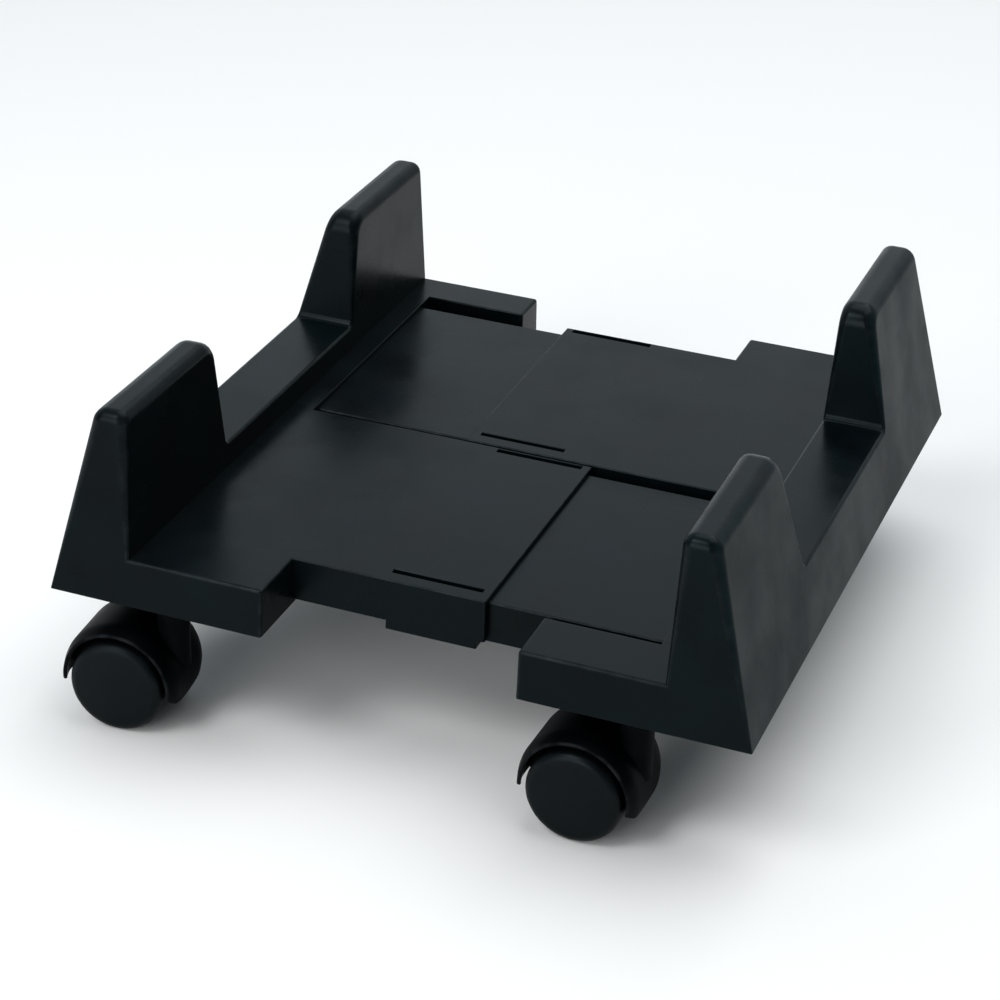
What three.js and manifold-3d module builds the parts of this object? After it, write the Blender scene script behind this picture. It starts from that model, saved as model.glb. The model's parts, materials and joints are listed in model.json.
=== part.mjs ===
// Mobile stand for a desktop computer: two telescoping moulded halves on four hooded
// twin-wheel casters. Millimetres, +X right, -Y front, +Z up, origin on the floor under
// the middle of the stand.
import * as THREE from "three";
import { mergeVertices } from "three/addons/utils/BufferGeometryUtils.js";
import Module from "manifold-3d";

const wasm = await Module();
wasm.setup();

// ---------- driving dimensions ----------
const DEPTH = 254; // front edge to rear edge of each half
const WIDTH = 244; // outer bottom edge to outer bottom edge, as set at rest
const SHELL_BOTTOM = 46; // floor to the lower edge of the mouldings
const WALL = 2.5; // moulded wall

// Heights above the lower edge of the mouldings.
const DECK = 17.3; // plates, ledges and strips
const DECK_SLAB = 3; // ledges and strips
const PLATE_SLAB = 1.4;
const TONGUE = 15.6; // top of the tongue that slides under the other half's plate
const TONGUE_SLAB = 2.6;
const RAIL_TOP = 26.2;
const POST_TOP = 68.6;
const SKIRT_BOTTOM = 2;
const TONGUE_BOTTOM = 1;
const HOOK_BOTTOM = -1.6;
const TAB_BOTTOM = -1.2; // stop tabs, which meet the hooks when the stand is fully open
const HOOK_LIP = 1.9; // thickness of the lip

// Across the half, measured inwards from its outer bottom edge.
const TOP_OUTER = 16.8; // the outer face leans in to here at the post's top
const TOP_INNER = 28.6;
const BASE_INNER = 30;
const STRIP_EDGE = 38;
const LEDGE_END = 77.8;
const PLATE_END = 146;
const TONGUE_END = 150;
const SLOT_START = 111; // hooks, and the slots above them
const SLOT_END = 143;
const STEM_IN = 40.2; // caster stem

// Along the half, measured from its front edge.
const POST_TOP_FRONT = 3.9; // the end face leans in to here at the top
const POST_TOP_BACK = 68.6;
const POST_FOOT_BACK = 73.8; // where the post meets the rail
const STEM_BACK = 11;
const SEAM = 1.2; // gap between the two plates on the centre line
const SKIRT = 2.2;
const SKIRT_CLEARANCE = 0.8;
const FRONT_PLATE_EDGE = 24.5;
const FRONT_TONGUE_LEDGE = 23.4;
const REAR_PLATE_EDGE = DEPTH - 21.8;
const REAR_TONGUE_LEDGE = DEPTH - 18;
const SET_BACK_SLOT = [5.3, 7.7]; // slot near a plate's front edge, from that edge
const EDGE_SLOT = [0.6, 3.2]; // slot along a plate's rear edge, from that edge

const TOP_ROUND = 3.2; // rounding along the post's top
const CORNER_ROUND = 8; // rounding of the post's top in side view

// Caster, measured from its axle.
const WHEEL_R = 16.4;
const WHEEL_FACE_R = 15.3;
const WHEEL_FACE = 15.9; // rim of the outer face, along the axle
const WHEEL_CROWN = 0.9; // how far the outer face bulges
const HOOD_R = 20.6;
const HOOD_END_R = 19; // the hood is slightly barrel-shaped
const HOOD_BAND = 8.7; // half the length of the barrel's straight middle
const HOOD_LIFT = 0.7; // hood centre above the axle
const HOOD_WALL = 1.4;
const HOOD_HALF = 14.5; // half the hood's width along the axle
const WEB_HALF = 3.6; // half the web between the wheels
const TRAIL = 15.5; // axle to swivel axis
const BOSS_R = 5.4;
const AXLE_R = 2.5;
const STEM_R = 3;
const GAP = 0.3; // between pieces that touch
const HOOD_BACK_EDGE = -0.7; // lower edge away from the stem
const HOOD_FRONT_EDGE = [[20, 0.5], [14.5, -1.9], [9, -5.6], [0, -8]]; // (y, z) towards the stem

const SOCKET_R = 6.6; // boss moulded in the half
const SLEEVE_R = 4.4;
const SLEEVE_FLANGE_R = 6;
const SLEEVE_FLANGE = 1.1;
const SLEEVE_TOP = 12.6; // above the lower edge of the mouldings
const STEM_TOP = 13.6;
const RING_R = 3.7;

// ---------- materials ----------
const plastic = new THREE.MeshStandardMaterial({ color: 0x1b1e20, roughness: 0.5, metalness: 0 });
const hoodPlastic = new THREE.MeshStandardMaterial({ color: 0x141618, roughness: 0.55, metalness: 0 });
const wheelPlastic = new THREE.MeshStandardMaterial({ color: 0x1e2124, roughness: 0.6, metalness: 0 });
const sleevePlastic = new THREE.MeshStandardMaterial({ color: 0x0f1011, roughness: 0.6, metalness: 0 });
const steel = new THREE.MeshStandardMaterial({ color: 0x9a9c9e, roughness: 0.35, metalness: 1 });

// ---------- solids ----------
function solid(geometry) {
  const bare = new THREE.BufferGeometry();
  bare.setAttribute("position", geometry.getAttribute("position"));
  bare.setIndex(geometry.index);
  const merged = mergeVertices(bare, 1e-4);
  return new wasm.Manifold(
    new wasm.Mesh({
      numProp: 3,
      vertProperties: new Float32Array(merged.attributes.position.array),
      triVerts: new Uint32Array(merged.index.array),
    }),
  );
}

function geometryOf(made) {
  const mesh = made.getMesh();
  const geometry = new THREE.BufferGeometry();
  geometry.setAttribute("position", new THREE.BufferAttribute(mesh.vertProperties, 3));
  geometry.setIndex(new THREE.BufferAttribute(mesh.triVerts, 1));
  geometry.computeVertexNormals();
  return geometry;
}

function join(...solids) {
  return solids.reduce((all, one) => all.add(one));
}

function cut(body, ...tools) {
  return tools.reduce((left, tool) => left.subtract(tool), body);
}

function block(x0, x1, y0, y1, z0, z1) {
  const box = new THREE.BoxGeometry(x1 - x0, y1 - y0, z1 - z0);
  return solid(box.translate((x0 + x1) / 2, (y0 + y1) / 2, (z0 + z1) / 2));
}

// A closed outline extruded by length along +Z, then turned by the given basis.
function prism(outline, length, basis) {
  const points = (list) => list.map(([a, b]) => new THREE.Vector2(a, b));
  const shape = Array.isArray(outline) ? new THREE.Shape(points(outline)) : outline;
  const options = { depth: length, bevelEnabled: false, curveSegments: 6 };
  return solid(new THREE.ExtrudeGeometry(shape, options).applyMatrix4(basis));
}

// An outline in (y, z), from x0 to x1.
function prismX(outline, x0, x1) {
  const basis = new THREE.Matrix4().set(0, 0, 1, x0, 1, 0, 0, 0, 0, 1, 0, 0, 0, 0, 0, 1);
  return prism(outline, x1 - x0, basis);
}

// An outline in (x, z), from y0 to y1.
function prismY(outline, y0, y1) {
  const basis = new THREE.Matrix4().set(1, 0, 0, 0, 0, 0, -1, y1, 0, 1, 0, 0, 0, 0, 0, 1);
  return prism(outline, y1 - y0, basis);
}

// A round bar along Z or, turned, along Y.
function barZ(r, z0, z1, x = 0, y = 0, sides = 28) {
  const bar = new THREE.CylinderGeometry(r, r, z1 - z0, sides).rotateX(Math.PI / 2);
  return solid(bar.translate(x, y, (z0 + z1) / 2));
}

function barY(r, y0, y1, x = 0, z = 0, sides = 28) {
  const bar = new THREE.CylinderGeometry(r, r, y1 - y0, sides);
  return solid(bar.translate(x, (y0 + y1) / 2, z));
}

// ---------- one moulded half ----------
// Built with x inwards from the outer bottom edge, y back from the front edge and z up
// from the lower edge. The outline in (x, z) times the outline in (y, z) gives the side
// wall: two posts, and a rail with its U-shaped gap between them.
function sideWall(inset, floor, ends) {
  const lean = TOP_OUTER / POST_TOP;
  const top = POST_TOP - inset;
  const outer = (z) => lean * z + inset * Math.hypot(1, lean);
  const inner = (z) => BASE_INNER + ((TOP_INNER - BASE_INNER) * z) / POST_TOP - inset;
  const round = Math.max(TOP_ROUND - inset, 0.6);
  const section = new THREE.Shape();
  section.moveTo(outer(floor), floor);
  section.lineTo(inner(floor), floor);
  section.lineTo(inner(top - round), top - round);
  section.quadraticCurveTo(inner(top), top, inner(top) - round, top);
  section.lineTo(outer(top) + round, top);
  section.quadraticCurveTo(outer(top), top, outer(top - round), top - round);
  section.closePath();

  const footLean = (POST_FOOT_BACK - POST_TOP_BACK) / (POST_TOP - RAIL_TOP);
  const back = (z) => POST_TOP_BACK + footLean * (POST_TOP - z) - inset;
  const corner = CORNER_ROUND - inset;
  const rail = RAIL_TOP - inset;
  const side = new THREE.Shape();
  side.moveTo(-1, floor);
  side.lineTo(DEPTH + 1, floor);
  side.lineTo(DEPTH + 1, top);
  side.lineTo(DEPTH - back(top) + corner, top);
  side.quadraticCurveTo(DEPTH - back(top), top, DEPTH - back(top - corner), top - corner);
  side.lineTo(DEPTH - back(rail), rail);
  side.lineTo(back(rail), rail);
  side.lineTo(back(top - corner), top - corner);
  side.quadraticCurveTo(back(top), top, back(top) - corner, top);
  side.lineTo(-1, top);
  side.closePath();
  return prismY(section, 0, DEPTH).intersect(prismX(side, 0, WIDTH / 2)).intersect(ends);
}

// The space between the two leaning end faces, rounded where they meet the posts' tops.
function endSpace(inset) {
  const lean = POST_TOP_FRONT / POST_TOP;
  const end = (z) => lean * z + inset;
  const top = POST_TOP - inset;
  const nose = Math.max(TOP_ROUND - inset, 0.6);
  const low = -5;
  const side = new THREE.Shape();
  side.moveTo(end(low), low);
  side.lineTo(DEPTH - end(low), low);
  side.lineTo(DEPTH - end(top - nose), top - nose);
  side.quadraticCurveTo(DEPTH - end(top), top, DEPTH - end(top) - nose, top);
  side.lineTo(end(top) + nose, top);
  side.quadraticCurveTo(end(top), top, end(top - nose), top - nose);
  side.closePath();
  return prismX(side, -1, PLATE_END + 10);
}

// A ledge is an open-bottomed box beside a post's foot, with a boss and ribs for a stem.
function ledge(y0, y1) {
  return block(BASE_INNER - 6, LEDGE_END, y0, y1, 0, DECK);
}

function ledgeHollow(y0, y1) {
  return block(BASE_INNER - 8, LEDGE_END - WALL, y0 + WALL, y1 - WALL, -1, DECK - DECK_SLAB);
}

function socket(y) {
  const endWall = y < DEPTH / 2 ? WALL / 2 : DEPTH - WALL / 2;
  const along = block(10, LEDGE_END - 1, y - 0.8, y + 0.8, 1, DECK - 1);
  const toEnd = [Math.min(y, endWall), Math.max(y, endWall)];
  const across = block(STEM_IN - 0.8, STEM_IN + 0.8, ...toEnd, 1, DECK - 1);
  return join(barZ(SOCKET_R, 0, DECK - 1, STEM_IN, y), along, across);
}

// A plate covers the other half's tongue: a slab with a skirt at its front and rear.
function plate(y0, y1) {
  const slab = block(BASE_INNER - 4, PLATE_END, y0, y1, DECK - PLATE_SLAB, DECK);
  const frontSkirt = block(BASE_INNER - 4, PLATE_END, y0, y0 + SKIRT, SKIRT_BOTTOM, DECK);
  const rearSkirt = block(BASE_INNER - 4, PLATE_END, y1 - SKIRT, y1, SKIRT_BOTTOM, DECK);
  const lipTop = HOOK_BOTTOM + HOOK_LIP;
  const drop = SKIRT_BOTTOM + 1;
  const frontHook = join(
    block(SLOT_START, SLOT_END, y0 + 0.3, y0 + SKIRT, HOOK_BOTTOM, drop),
    block(SLOT_START, SLOT_END, y0 + 0.3, y0 + SET_BACK_SLOT[1], HOOK_BOTTOM, lipTop),
  );
  const rearHook = join(
    block(SLOT_START, SLOT_END, y1 - SKIRT, y1 - 0.3, HOOK_BOTTOM, drop),
    block(SLOT_START, SLOT_END, y1 - SET_BACK_SLOT[1], y1 - 0.3, HOOK_BOTTOM, lipTop),
  );
  const [setBack, setBackEnd] = SET_BACK_SLOT;
  const [lip, edgeSlotEnd] = EDGE_SLOT;
  const frontSlot = block(SLOT_START, SLOT_END, y0 + setBack, y0 + setBackEnd, DECK - 4, DECK + 1);
  const rearSlot = block(SLOT_START, SLOT_END, y1 - edgeSlotEnd, y1 - lip, DECK - 5, DECK + 1);
  return cut(join(slab, frontSkirt, rearSkirt, frontHook, rearHook), frontSlot, rearSlot);
}

// A tongue slides under the other half's plate, with stop tabs that meet its hooks.
function tongue(y0, y1) {
  const slab = block(STRIP_EDGE - WALL, TONGUE_END, y0, y1, TONGUE - TONGUE_SLAB, TONGUE);
  const ribAt = (y) => block(STRIP_EDGE - WALL, TONGUE_END, y, y + SKIRT, TONGUE_BOTTOM, TONGUE - 1);
  const third = (y1 - y0 - SKIRT) / 3;
  const ribs = [0, 1, 2, 3].map((i) => ribAt(y0 + i * third));
  const tabAt = (y) => block(TONGUE_END - 3, TONGUE_END, y, y + 3, TAB_BOTTOM, TONGUE - 1);
  return join(slab, ...ribs, tabAt(y0 + 2.5), tabAt(y1 - 5.5));
}

function half(plateSpan, tongueSpan, wallSpan, ledgeDepths) {
  const [frontLedge, rearLedge] = ledgeDepths;
  const stripWall = block(STRIP_EDGE - WALL, STRIP_EDGE, ...wallSpan, TONGUE_BOTTOM, DECK);
  const strip = block(BASE_INNER - 6, STRIP_EDGE, frontLedge - 4, rearLedge + 4, DECK - DECK_SLAB, DECK);
  const outer = endSpace(0);
  const shell = join(sideWall(0, 0, outer), ledge(0, frontLedge), ledge(rearLedge, DEPTH), strip);
  const whole = join(shell.intersect(outer), stripWall, plate(...plateSpan), tongue(...tongueSpan));
  // The other half's tongue also runs under the strip beside the plate.
  const underPlate = [plateSpan[0] + SKIRT, plateSpan[1] - SKIRT];
  const hollow = join(
    sideWall(WALL, -1, endSpace(WALL)),
    ledgeHollow(0, frontLedge),
    ledgeHollow(rearLedge, DEPTH),
    block(BASE_INNER - 8, STRIP_EDGE - WALL, frontLedge, rearLedge, -1, DECK - DECK_SLAB),
    block(BASE_INNER + 1, STRIP_EDGE, ...underPlate, 0, DECK - PLATE_SLAB),
  );
  const rib = [[6, 1], [BASE_INNER - 3, 1], [BASE_INNER - 3, RAIL_TOP - 1], [9, RAIL_TOP - 1]];
  const cross = [0.3, 0.5, 0.7].map((t) => prismY(rib, DEPTH * t - 0.9, DEPTH * t + 0.9));
  const stems = [STEM_BACK, DEPTH - STEM_BACK];
  const bores = stems.map((y) => barZ(SLEEVE_R + GAP, -2, DECK - DECK_SLAB, STEM_IN, y));
  return cut(join(cut(whole, hollow), ...cross, ...stems.map(socket)), ...bores);
}

const midFront = DEPTH / 2 - SEAM / 2;
const midRear = DEPTH / 2 + SEAM / 2;
const wrap = SKIRT + SKIRT_CLEARANCE; // plate edge to the edge of the tongue inside it
const leftHalf = half(
  [FRONT_PLATE_EDGE, midFront],
  [midRear + wrap, REAR_PLATE_EDGE - wrap],
  [midFront - SKIRT, REAR_TONGUE_LEDGE + 1],
  [FRONT_PLATE_EDGE, REAR_TONGUE_LEDGE],
);
const rightHalf = half(
  [midRear, REAR_PLATE_EDGE],
  [FRONT_PLATE_EDGE + wrap, midFront - wrap],
  [FRONT_TONGUE_LEDGE - 1, midRear + SKIRT],
  [FRONT_TONGUE_LEDGE, REAR_PLATE_EDGE],
);

// ---------- caster pieces ----------
// Built with the axle along Y through the origin and the swivel axis at x = TRAIL.
const topOfBoss = SHELL_BOTTOM - WHEEL_R - SLEEVE_FLANGE - 2 * GAP;

function wheel(side) {
  const inner = WEB_HALF + 0.5;
  const bore = AXLE_R + 0.05;
  const profile = [
    [bore, inner],
    [WHEEL_R - 1, inner],
    [WHEEL_R, inner + 1],
    [WHEEL_R, WHEEL_FACE - 1.2],
    [WHEEL_FACE_R, WHEEL_FACE],
    [WHEEL_FACE_R / 2, WHEEL_FACE + 0.75 * WHEEL_CROWN],
    [0, WHEEL_FACE + WHEEL_CROWN],
    [0, WHEEL_FACE - 4],
    [bore, WHEEL_FACE - 4],
    [bore, inner],
  ];
  const made = solid(new THREE.LatheGeometry(profile.map(([r, y]) => new THREE.Vector2(r, y)), 28));
  return side > 0 ? made : mirrored(made, 1);
}

// The same solid mirrored across x = 0 (axis 0) or y = 0 (axis 1).
function mirrored(made, axis) {
  const geometry = geometryOf(made);
  const flip = [1, 1, 1];
  flip[axis] = -1;
  geometry.scale(...flip);
  const index = geometry.index.array;
  for (let i = 0; i < index.length; i += 3) {
    [index[i + 1], index[i + 2]] = [index[i + 2], index[i + 1]];
  }
  return solid(geometry);
}

// Everything below the hood's two lower edges; the one at the stem's side dips in the middle.
function belowHood() {
  const near = HOOD_FRONT_EDGE.map(([y, z]) => [-y, z]);
  const far = HOOD_FRONT_EDGE.slice(0, -1).reverse();
  const low = [[20, -40], [-20, -40]];
  return join(prismX([...low, ...near, ...far], 4, 40), block(-40, 4, -20, 20, -40, HOOD_BACK_EDGE));
}

function hood() {
  const barrel = [
    [HOOD_END_R - HOOD_WALL, -HOOD_HALF],
    [HOOD_END_R, -HOOD_HALF],
    [HOOD_R, -HOOD_BAND],
    [HOOD_R, HOOD_BAND],
    [HOOD_END_R, HOOD_HALF],
    [HOOD_END_R - HOOD_WALL, HOOD_HALF],
    [HOOD_R - HOOD_WALL, HOOD_BAND],
    [HOOD_R - HOOD_WALL, -HOOD_BAND],
    [HOOD_END_R - HOOD_WALL, -HOOD_HALF],
  ];
  const turned = new THREE.LatheGeometry(barrel.map(([r, y]) => new THREE.Vector2(r, y)), 32);
  const cover = solid(turned.translate(0, 0, HOOD_LIFT));
  const web = barY(HOOD_R - 0.7, -WEB_HALF, WEB_HALF, 0, HOOD_LIFT, 32);
  const hub = barY(AXLE_R + 3, -WEB_HALF, WEB_HALF, 0, 0, 20);
  const wheelSpace = barY(WHEEL_R + 0.6, WEB_HALF, 20);
  const boss = cut(barZ(BOSS_R, 5, topOfBoss, TRAIL, 0, 20), wheelSpace, mirrored(wheelSpace, 1));
  return cut(
    join(cut(join(cover, web), belowHood()), hub, boss),
    barY(AXLE_R + GAP, -20, 20, 0, 0, 20),
    barZ(STEM_R + GAP, 7, topOfBoss + 1, TRAIL, 0, 20),
  );
}

function axle() {
  return barY(AXLE_R - 0.05, -WHEEL_FACE + 4.3, WHEEL_FACE - 4.3, 0, 0, 20);
}

const stemBase = SHELL_BOTTOM - WHEEL_R;
function stem() {
  const pin = barZ(STEM_R, 7.4, stemBase + STEM_TOP, TRAIL, 0, 20);
  const band = barZ(STEM_R + 1, stemBase + 9, stemBase + 11, TRAIL, 0, 20);
  return cut(pin, cut(band, barZ(STEM_R - 0.6, stemBase + 8, stemBase + 12, TRAIL, 0, 20)));
}

function ring() {
  const body = barZ(RING_R, stemBase + 9.3, stemBase + 10.7, TRAIL, 0, 16);
  const split = block(TRAIL, TRAIL + 6, -0.8, 0.8, stemBase + 8, stemBase + 12);
  return cut(body, barZ(STEM_R - 0.3, stemBase + 8, stemBase + 12, TRAIL, 0, 16), split);
}

function sleeve() {
  const body = join(
    barZ(SLEEVE_R, -0.5, SLEEVE_TOP, 0, 0, 20),
    barZ(SLEEVE_FLANGE_R, -SLEEVE_FLANGE - GAP, -GAP, 0, 0, 20),
  );
  const bore = barZ(STEM_R + 0.1, -3, SLEEVE_TOP + 1, 0, 0, 20);
  const ringSeat = barZ(RING_R + GAP, 8.6, 11.4, 0, 0, 20);
  return cut(body, bore, ringSeat);
}

// ---------- assembly ----------
const model = new THREE.Group();

function add(parent, name, made, material) {
  const mesh = new THREE.Mesh(geometryOf(made), material);
  mesh.name = name;
  parent.add(mesh);
}

const halves = new THREE.Group();
halves.position.set(0, -DEPTH / 2, SHELL_BOTTOM);
model.add(halves);

const leftGroup = new THREE.Group();
leftGroup.position.x = -WIDTH / 2;
halves.add(leftGroup);
add(leftGroup, "left_base", leftHalf, plastic);

const rightGroup = new THREE.Group();
rightGroup.position.x = WIDTH / 2;
halves.add(rightGroup);
add(rightGroup, "right_base", mirrored(rightHalf, 0), plastic);

// Swivel of each caster about its stem, degrees, 0 with the wheels trailing to the left.
const casters = [
  { name: "front_left", side: -1, end: -1, turn: 3.9 },
  { name: "front_right", side: 1, end: -1, turn: -2 },
  { name: "rear_left", side: -1, end: 1, turn: -3.9 },
  { name: "rear_right", side: 1, end: 1, turn: 2 },
];
for (const { name, side, end, turn } of casters) {
  const stemX = side * (WIDTH / 2 - STEM_IN);
  const stemY = end * (DEPTH / 2 - STEM_BACK);
  const seat = new THREE.Group();
  seat.position.set(stemX, stemY, SHELL_BOTTOM);
  model.add(seat);
  add(seat, name + "_stem_sleeve", sleeve(), sleevePlastic);

  const swivel = new THREE.Group();
  swivel.position.set(stemX, stemY, WHEEL_R);
  swivel.rotation.z = THREE.MathUtils.degToRad(turn);
  model.add(swivel);
  const fork = new THREE.Group();
  fork.position.x = -TRAIL;
  swivel.add(fork);
  add(fork, name + "_hood", hood(), hoodPlastic);
  add(fork, name + "_stem", stem(), steel);
  add(fork, name + "_stem_ring", ring(), steel);
  add(fork, name + "_axle", axle(), steel);
  add(fork, name + "_wheel_front", wheel(-1), wheelPlastic);
  add(fork, name + "_wheel_rear", wheel(1), wheelPlastic);
}

export default model;
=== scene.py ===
import json
import math

import bmesh
import bpy
from mathutils import Matrix, Vector


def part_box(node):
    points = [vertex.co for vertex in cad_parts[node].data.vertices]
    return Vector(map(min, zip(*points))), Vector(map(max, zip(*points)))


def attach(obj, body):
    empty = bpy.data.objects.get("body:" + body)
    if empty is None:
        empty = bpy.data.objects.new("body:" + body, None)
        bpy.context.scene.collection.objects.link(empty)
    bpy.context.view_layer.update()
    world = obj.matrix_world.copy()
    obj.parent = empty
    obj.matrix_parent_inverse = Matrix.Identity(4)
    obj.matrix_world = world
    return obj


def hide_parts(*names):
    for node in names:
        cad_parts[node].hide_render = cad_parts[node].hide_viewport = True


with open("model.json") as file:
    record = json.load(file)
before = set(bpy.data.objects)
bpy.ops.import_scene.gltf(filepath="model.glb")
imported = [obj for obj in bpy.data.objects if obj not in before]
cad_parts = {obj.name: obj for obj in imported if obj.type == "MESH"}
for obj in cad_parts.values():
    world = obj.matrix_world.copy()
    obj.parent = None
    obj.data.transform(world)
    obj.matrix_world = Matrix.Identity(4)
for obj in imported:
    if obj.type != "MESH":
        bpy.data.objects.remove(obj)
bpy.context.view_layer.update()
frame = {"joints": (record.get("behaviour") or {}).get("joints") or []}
JOINTS = {j["name"]: j for j in frame["joints"]}
MM = 0.001

# ---------------------------------------------------------------- dimensions, mm
# The mouldings are measured as in the CAD: x inwards from a half's outer lower edge,
# y back from its front edge, z up from its lower edge.
left_low, left_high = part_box("left_base")
DEPTH = (left_high.y - left_low.y) / MM
HALF_WIDTH = -left_low.x / MM
SHELL_BOTTOM = 46.0
WALL = 2.5
DECK, DECK_SLAB, PLATE_SLAB = 17.3, 3.0, 1.4
TONGUE, TONGUE_SLAB = 15.6, 2.6
RAIL_TOP, POST_TOP = 26.2, 68.6
SKIRT_BOTTOM, TONGUE_BOTTOM, HOOK_BOTTOM, HOOK_LIP, TAB_BOTTOM = 2.0, 1.0, -1.6, 1.9, -1.2
TOP_OUTER, TOP_INNER, BASE_INNER = 16.8, 28.6, 30.0
STRIP_EDGE, LEDGE_END, PLATE_END, TONGUE_END = 38.0, 77.8, 146.0, 150.0
SLOT_START, SLOT_END = 111.0, 143.0
STEM_IN, STEM_BACK = 40.2, 11.0
POST_TOP_FRONT, POST_TOP_BACK, POST_FOOT_BACK = 3.9, 68.6, 73.8
SEAM, SKIRT, SKIRT_CLEARANCE = 1.2, 2.2, 0.8
FRONT_PLATE_EDGE, FRONT_TONGUE_LEDGE = 24.5, 23.4
REAR_PLATE_EDGE, REAR_TONGUE_LEDGE = DEPTH - 21.8, DEPTH - 18
SOCKET_R, SOCKET_BORE, SOCKET_RIB_TOP = 6.6, 4.7, 15.5
# Where the slots, hooks and stop tabs start and end, inwards from a plate's or a tongue's edge.
FRONT_SLOT, REAR_SLOT = (5.3, 7.7), (3.2, 0.6)
HOOK_FACE, HOOK_END = 0.3, 7.7
FRONT_TAB, REAR_TAB, TAB_SIZE = 2.5, 5.5, 3.0
WALL_RIBS, WALL_RIB_HALF, SOCKET_RIB_HALF = (0.3, 0.5, 0.7), 0.9, 0.8

WHEEL_R, WHEEL_FACE, WHEEL_CROWN = 16.4, 15.9, 0.85
HOOD_R, HOOD_END_R, HOOD_BAND, HOOD_HALF = 20.6, 19.0, 8.7, 14.5
HOOD_LIFT, HOOD_WALL, WEB_HALF, TRAIL = 0.7, 1.4, 3.6, 15.5
HOOD_FRONT_LOW, HOOD_FRONT_RISE, HOOD_BACK = -8.0, 6.1, 0.7
BOSS_R, AXLE_R, STEM_R = 5.4, 2.5, 3.0

# ---------------------------------------------------------------- mesh helpers


def obj_from_bm(bm, name):
    mesh = bpy.data.meshes.new(name)
    bm.to_mesh(mesh)
    bm.free()
    obj = bpy.data.objects.new(name, mesh)
    bpy.context.scene.collection.objects.link(obj)
    return obj


def box_bm(x0, x1, y0, y1, z0, z1):
    bm = bmesh.new()
    bmesh.ops.create_cube(bm, size=1)
    size = Matrix.Diagonal((x1 - x0, y1 - y0, z1 - z0, 1))
    centre = Matrix.Translation(((x0 + x1) / 2, (y0 + y1) / 2, (z0 + z1) / 2))
    bmesh.ops.transform(bm, matrix=centre @ size, verts=bm.verts)
    return bm


def trim(bm, planes):
    """Keeps what lies behind each plane, given as a point and an outward normal."""
    for point, normal in planes:
        geom = bm.verts[:] + bm.edges[:] + bm.faces[:]
        made = bmesh.ops.bisect_plane(
            bm, geom=geom, dist=1e-5, plane_co=point, plane_no=normal, clear_outer=True
        )
        edges = [g for g in made["geom_cut"] if isinstance(g, bmesh.types.BMEdge)]
        if edges:
            bmesh.ops.edgenet_fill(bm, edges=edges)
    bmesh.ops.recalc_face_normals(bm, faces=bm.faces)
    return bm


def prism_bm(outline, low, high, axis):
    """An outline extruded along an axis: (y, z) along x, or (x, z) along y."""
    bm = bmesh.new()
    rings = []
    for c in (low, high):
        corners = [(c, a, b) if axis == "x" else (a, c, b) for a, b in outline]
        rings.append([bm.verts.new(corner) for corner in corners])
    bm.faces.new(rings[0])
    bm.faces.new(rings[1])
    count = len(outline)
    for i in range(count):
        bm.faces.new((rings[0][i], rings[0][(i + 1) % count], rings[1][(i + 1) % count], rings[1][i]))
    bmesh.ops.recalc_face_normals(bm, faces=bm.faces)
    return bm


def revolve_bm(profile, segments, start=0.0, sweep=2 * math.pi):
    """A profile of (radius, y) turned about Y. A first point equal to the last closes it."""
    bm = bmesh.new()
    closed = profile[0] == profile[-1]
    points = profile[:-1] if closed else profile
    full = sweep >= 2 * math.pi - 1e-6
    count = segments if full else segments + 1
    rings = []
    for r, y in points:
        if r < 1e-6:
            rings.append([bm.verts.new((0, y, 0))] * count)
            continue
        ring = []
        for i in range(count):
            a = start + sweep * i / segments
            ring.append(bm.verts.new((r * math.cos(a), y, r * math.sin(a))))
        rings.append(ring)
    pairs = list(zip(rings, rings[1:])) + ([(rings[-1], rings[0])] if closed else [])
    for near, far in pairs:
        for i in range(segments):
            j = (i + 1) % count
            quad = []
            for v in (near[i], near[j], far[j], far[i]):
                if v not in quad:
                    quad.append(v)
            if len(quad) > 2:
                bm.faces.new(quad)
    bmesh.ops.recalc_face_normals(bm, faces=bm.faces)
    return bm


def upright(bm, x=0.0, y=0.0):
    """A solid turned about Y, stood up along Z at (x, y)."""
    turn = Matrix.Translation((x, y, 0)) @ Matrix.Rotation(math.radians(90), 4, "X")
    bmesh.ops.transform(bm, matrix=turn, verts=bm.verts)
    return bm


def evaluated(obj):
    """Applies every modifier of obj to its mesh."""
    graph = bpy.context.evaluated_depsgraph_get()
    mesh = bpy.data.meshes.new_from_object(obj.evaluated_get(graph))
    obj.modifiers.clear()
    obj.data = mesh
    return obj


def combine(obj, tools, operation):
    """Exact booleans of obj with each of a list of bmesh solids."""
    for bm in tools:
        tool = obj_from_bm(bm, "tool")
        mod = obj.modifiers.new("boolean", "BOOLEAN")
        mod.solver = "EXACT"
        mod.operation = operation
        mod.object = tool
        evaluated(obj)
        bpy.data.objects.remove(tool)
        bm = bmesh.new()
        bm.from_mesh(obj.data)
        bmesh.ops.remove_doubles(bm, verts=bm.verts, dist=0.004)
        bmesh.ops.dissolve_degenerate(bm, edges=bm.edges, dist=0.003)
        bm.to_mesh(obj.data)
        bm.free()


def tidy(obj):
    """Merges doubled points and the faces that a boolean split."""
    bm = bmesh.new()
    bm.from_mesh(obj.data)
    bmesh.ops.remove_doubles(bm, verts=bm.verts, dist=1e-3)
    bmesh.ops.dissolve_limit(bm, angle_limit=math.radians(0.4), verts=bm.verts, edges=bm.edges)
    bm.to_mesh(obj.data)
    bm.free()


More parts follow.
